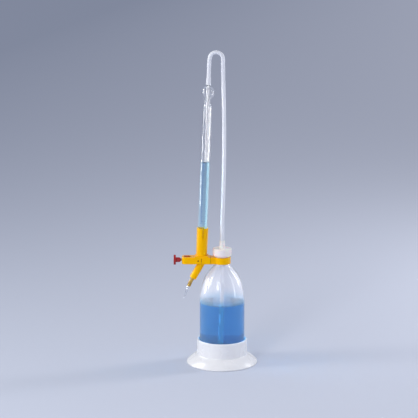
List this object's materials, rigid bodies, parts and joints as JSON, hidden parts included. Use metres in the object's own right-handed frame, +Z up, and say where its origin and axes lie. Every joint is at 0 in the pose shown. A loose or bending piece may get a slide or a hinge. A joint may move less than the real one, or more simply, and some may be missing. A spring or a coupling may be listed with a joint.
{
  "type": "automatic burette",
  "caption": "Squeeze bottle in a round foot with a leaning glass burette on a side arm, a riser hose over its top, and a pinch valve with key and fine screw above a slanted outlet.",
  "frame": {"origin": "centre of the foot's underside", "axes": "+Z up, +X from the valve arm towards the bottle, the front looks along -Y"},
  "size_m": [0.1715, 0.145, 0.643],
  "materials": {
    "moulded_white": "gloss moulded",
    "bottle_polyethylene": "milky, soft sheen",
    "reagent_blue": "clear blue liquid",
    "hose_milky": "milky, smooth",
    "moulded_yellow": "semi-gloss moulded",
    "steel": "turned",
    "seal_rubber": "matt",
    "borosilicate_glass": "clear, fire-polished",
    "hose_amber": "translucent",
    "insert_brass": "turned",
    "bearing_white": "matt",
    "moulded_red": "semi-gloss moulded",
    "cap_polypropylene": "natural, slightly translucent"
  },
  "bodies": {
    "stand": {"foot": "moulded_white", "bottle": "bottle_polyethylene", "reagent_in_bottle": "reagent_blue", "dip_tube": "hose_milky", "neck_ring": "moulded_yellow", "ring_pin": "steel", "burette_holder": "moulded_yellow", "outlet_guide": "moulded_yellow", "seat_ring": "seal_rubber", "burette_tube": "borosilicate_glass", "fill_tube": "borosilicate_glass", "reagent_in_burette": "reagent_blue", "pinch_hose": "hose_amber", "outlet_tip": "borosilicate_glass", "riser_hose": "hose_milky", "thread_insert": "insert_brass", "guide_block": "bearing_white", "guide_pins": "steel"},
    "key_slide": {"pinch_slide": "moulded_red", "return_spring": "steel"},
    "screw_pad": {"anvil_pad": "bearing_white"},
    "screw": {"micro_screw_stem": "steel", "micro_screw_knob": "moulded_red"},
    "seal": {"cap_seal": "seal_rubber"},
    "cap": {"screw_cap": "cap_polypropylene"}
  },
  "joints": [
    {"name": "key_press", "type": "slide", "parent": "stand", "child": "key_slide", "axis": [1, 0, 0], "range_m": [0, 0.0035], "stiffness_N_per_m": 600, "springref_m": -0.004, "deforming": ["return_spring"]},
    {"name": "pad_travel", "type": "slide", "parent": "stand", "child": "screw_pad", "axis": [-1, 0, 0], "range_m": [0, 0.0012]},
    {"name": "screw_turn", "type": "hinge", "parent": "screw_pad", "child": "screw", "pos_m": [-0.09, 0, 0.2158], "axis": [-1, 0, 0], "range_deg": [0, 540]},
    {"name": "cap_lift", "type": "slide", "parent": "stand", "child": "seal", "axis": [0, 0, 1], "range_m": [0, 0.006]},
    {"name": "cap_turn", "type": "hinge", "parent": "seal", "child": "cap", "pos_m": [0, 0, 0.23], "axis": [0, 0, 1], "range_deg": [0, 540]}
  ],
  "couplings": [
    {"joint": "screw_turn", "follows": "pad_travel", "rad_per_m": 7853.9},
    {"joint": "cap_turn", "follows": "cap_lift", "rad_per_m": 1570.7}
  ]
}
